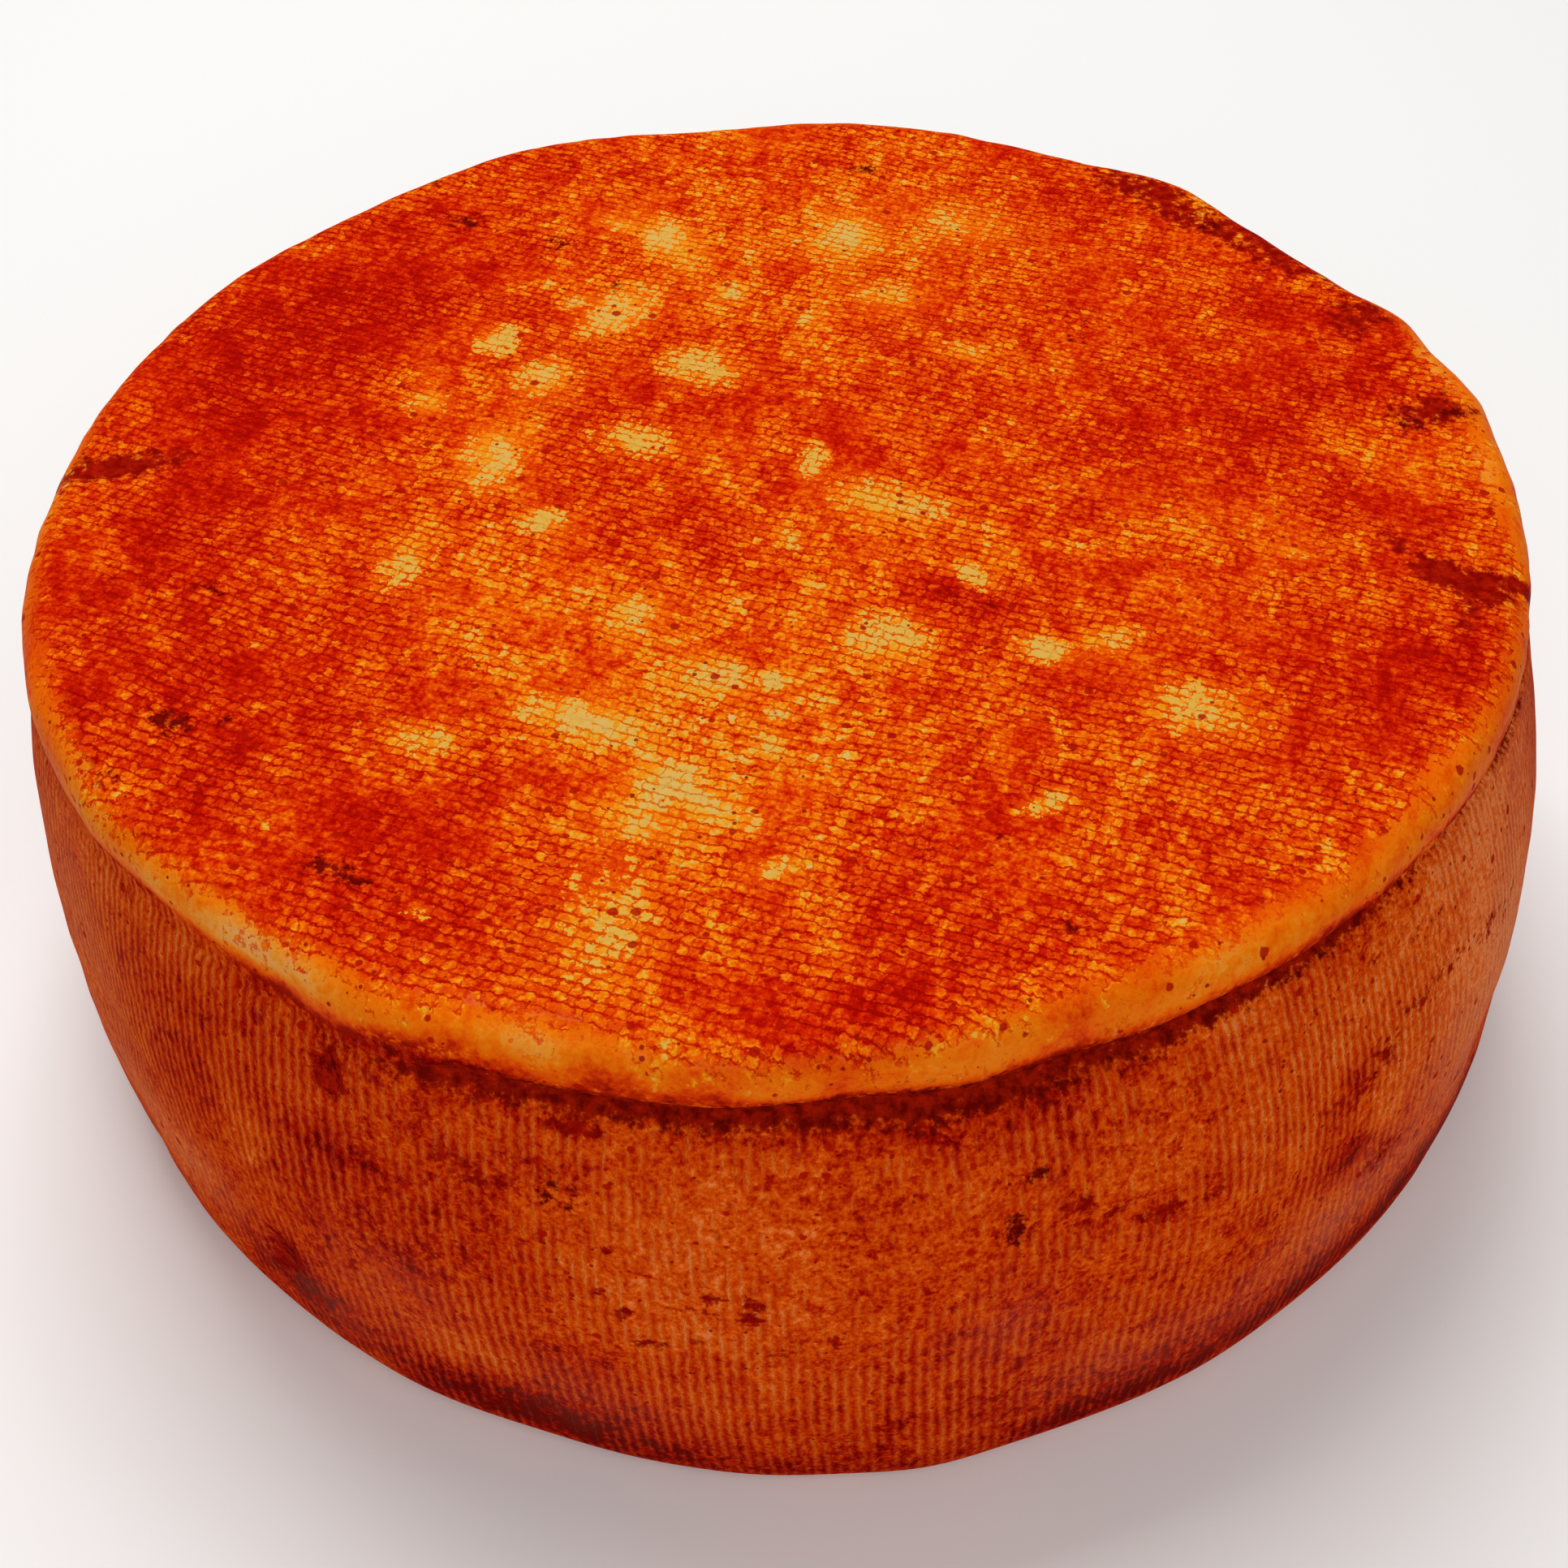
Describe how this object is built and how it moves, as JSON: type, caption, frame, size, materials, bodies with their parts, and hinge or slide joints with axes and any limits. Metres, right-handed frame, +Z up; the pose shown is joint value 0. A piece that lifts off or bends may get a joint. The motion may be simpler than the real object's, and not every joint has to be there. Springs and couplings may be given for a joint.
{
  "type": "cheese wheel",
  "caption": "Small pressed cheese wheel with a flat top, a rounded lip over a pressed seam, a bulging cloth-marked side and a flat base to rest on.",
  "frame": {"origin": "middle of the bounding box at the flat base that the wheel rests on", "axes": "+Z up out of the flat top, square to the base; +X to the right and +Y to the back, seen from the side where the seam under the lip is deepest"},
  "size_m": [0.1496, 0.1496, 0.058],
  "materials": {
    "rind": "oily paprika-rubbed cheese rind: red to orange mottling over cream paste, cloth weave pressed into the top and ribs into the side, a smooth waxy orange lip and a dark red seam"
  },
  "bodies": {
    "root": {"cheese_wheel": "rind"}
  },
  "joints": []
}
